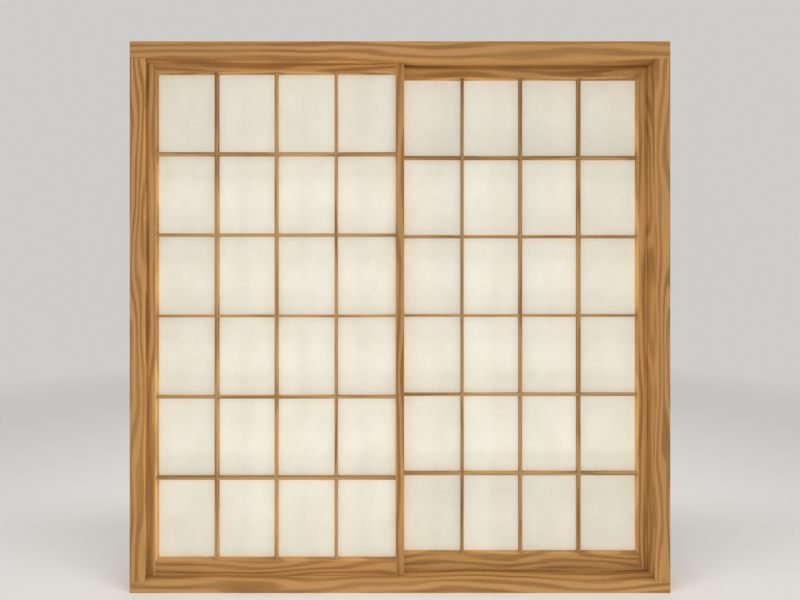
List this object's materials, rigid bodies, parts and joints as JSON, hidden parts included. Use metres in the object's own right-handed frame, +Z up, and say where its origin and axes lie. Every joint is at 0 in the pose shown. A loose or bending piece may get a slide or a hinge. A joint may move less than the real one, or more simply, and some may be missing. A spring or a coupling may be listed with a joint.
{
  "type": "shoji sliding screen",
  "caption": "Pair of wooden lattice panels covered with translucent paper, sliding past each other in grooves in a wooden frame",
  "frame": {"origin": "centre of the footprint of the frame, on the floor under the sill", "axes": "+Z up, X along the screen with +X to the right seen from the front, the front faces -Y"},
  "size_m": [1.82, 0.124, 1.856],
  "materials": {
    "frame_wood": "planed, oiled",
    "panel_wood": "planed, oiled",
    "lattice_wood": "planed, oiled",
    "paper": "matt, fibrous"
  },
  "bodies": {
    "frame": {"head": "frame_wood", "sill": "frame_wood", "left_jamb": "frame_wood", "right_jamb": "frame_wood"},
    "left_shoji": {"left_outer_stile": "panel_wood", "left_meeting_stile": "panel_wood", "left_top_rail": "panel_wood", "left_bottom_rail": "panel_wood", "left_upright_bar_1": "lattice_wood", "left_upright_bar_2": "lattice_wood", "left_upright_bar_3": "lattice_wood", "left_cross_bar_1": "lattice_wood", "left_cross_bar_2": "lattice_wood", "left_cross_bar_3": "lattice_wood", "left_cross_bar_4": "lattice_wood", "left_cross_bar_5": "lattice_wood", "left_paper": "paper"},
    "right_shoji": {"right_outer_stile": "panel_wood", "right_meeting_stile": "panel_wood", "right_top_rail": "panel_wood", "right_bottom_rail": "panel_wood", "right_upright_bar_1": "lattice_wood", "right_upright_bar_2": "lattice_wood", "right_upright_bar_3": "lattice_wood", "right_cross_bar_1": "lattice_wood", "right_cross_bar_2": "lattice_wood", "right_cross_bar_3": "lattice_wood", "right_cross_bar_4": "lattice_wood", "right_cross_bar_5": "lattice_wood", "right_paper": "paper"}
  },
  "joints": [
    {"name": "left_shoji_slide", "type": "slide", "parent": "frame", "child": "left_shoji", "axis": [1, 0, 0], "range_m": [0, 0.856]},
    {"name": "right_shoji_slide", "type": "slide", "parent": "frame", "child": "right_shoji", "axis": [-1, 0, 0], "range_m": [0, 0.856]}
  ]
}
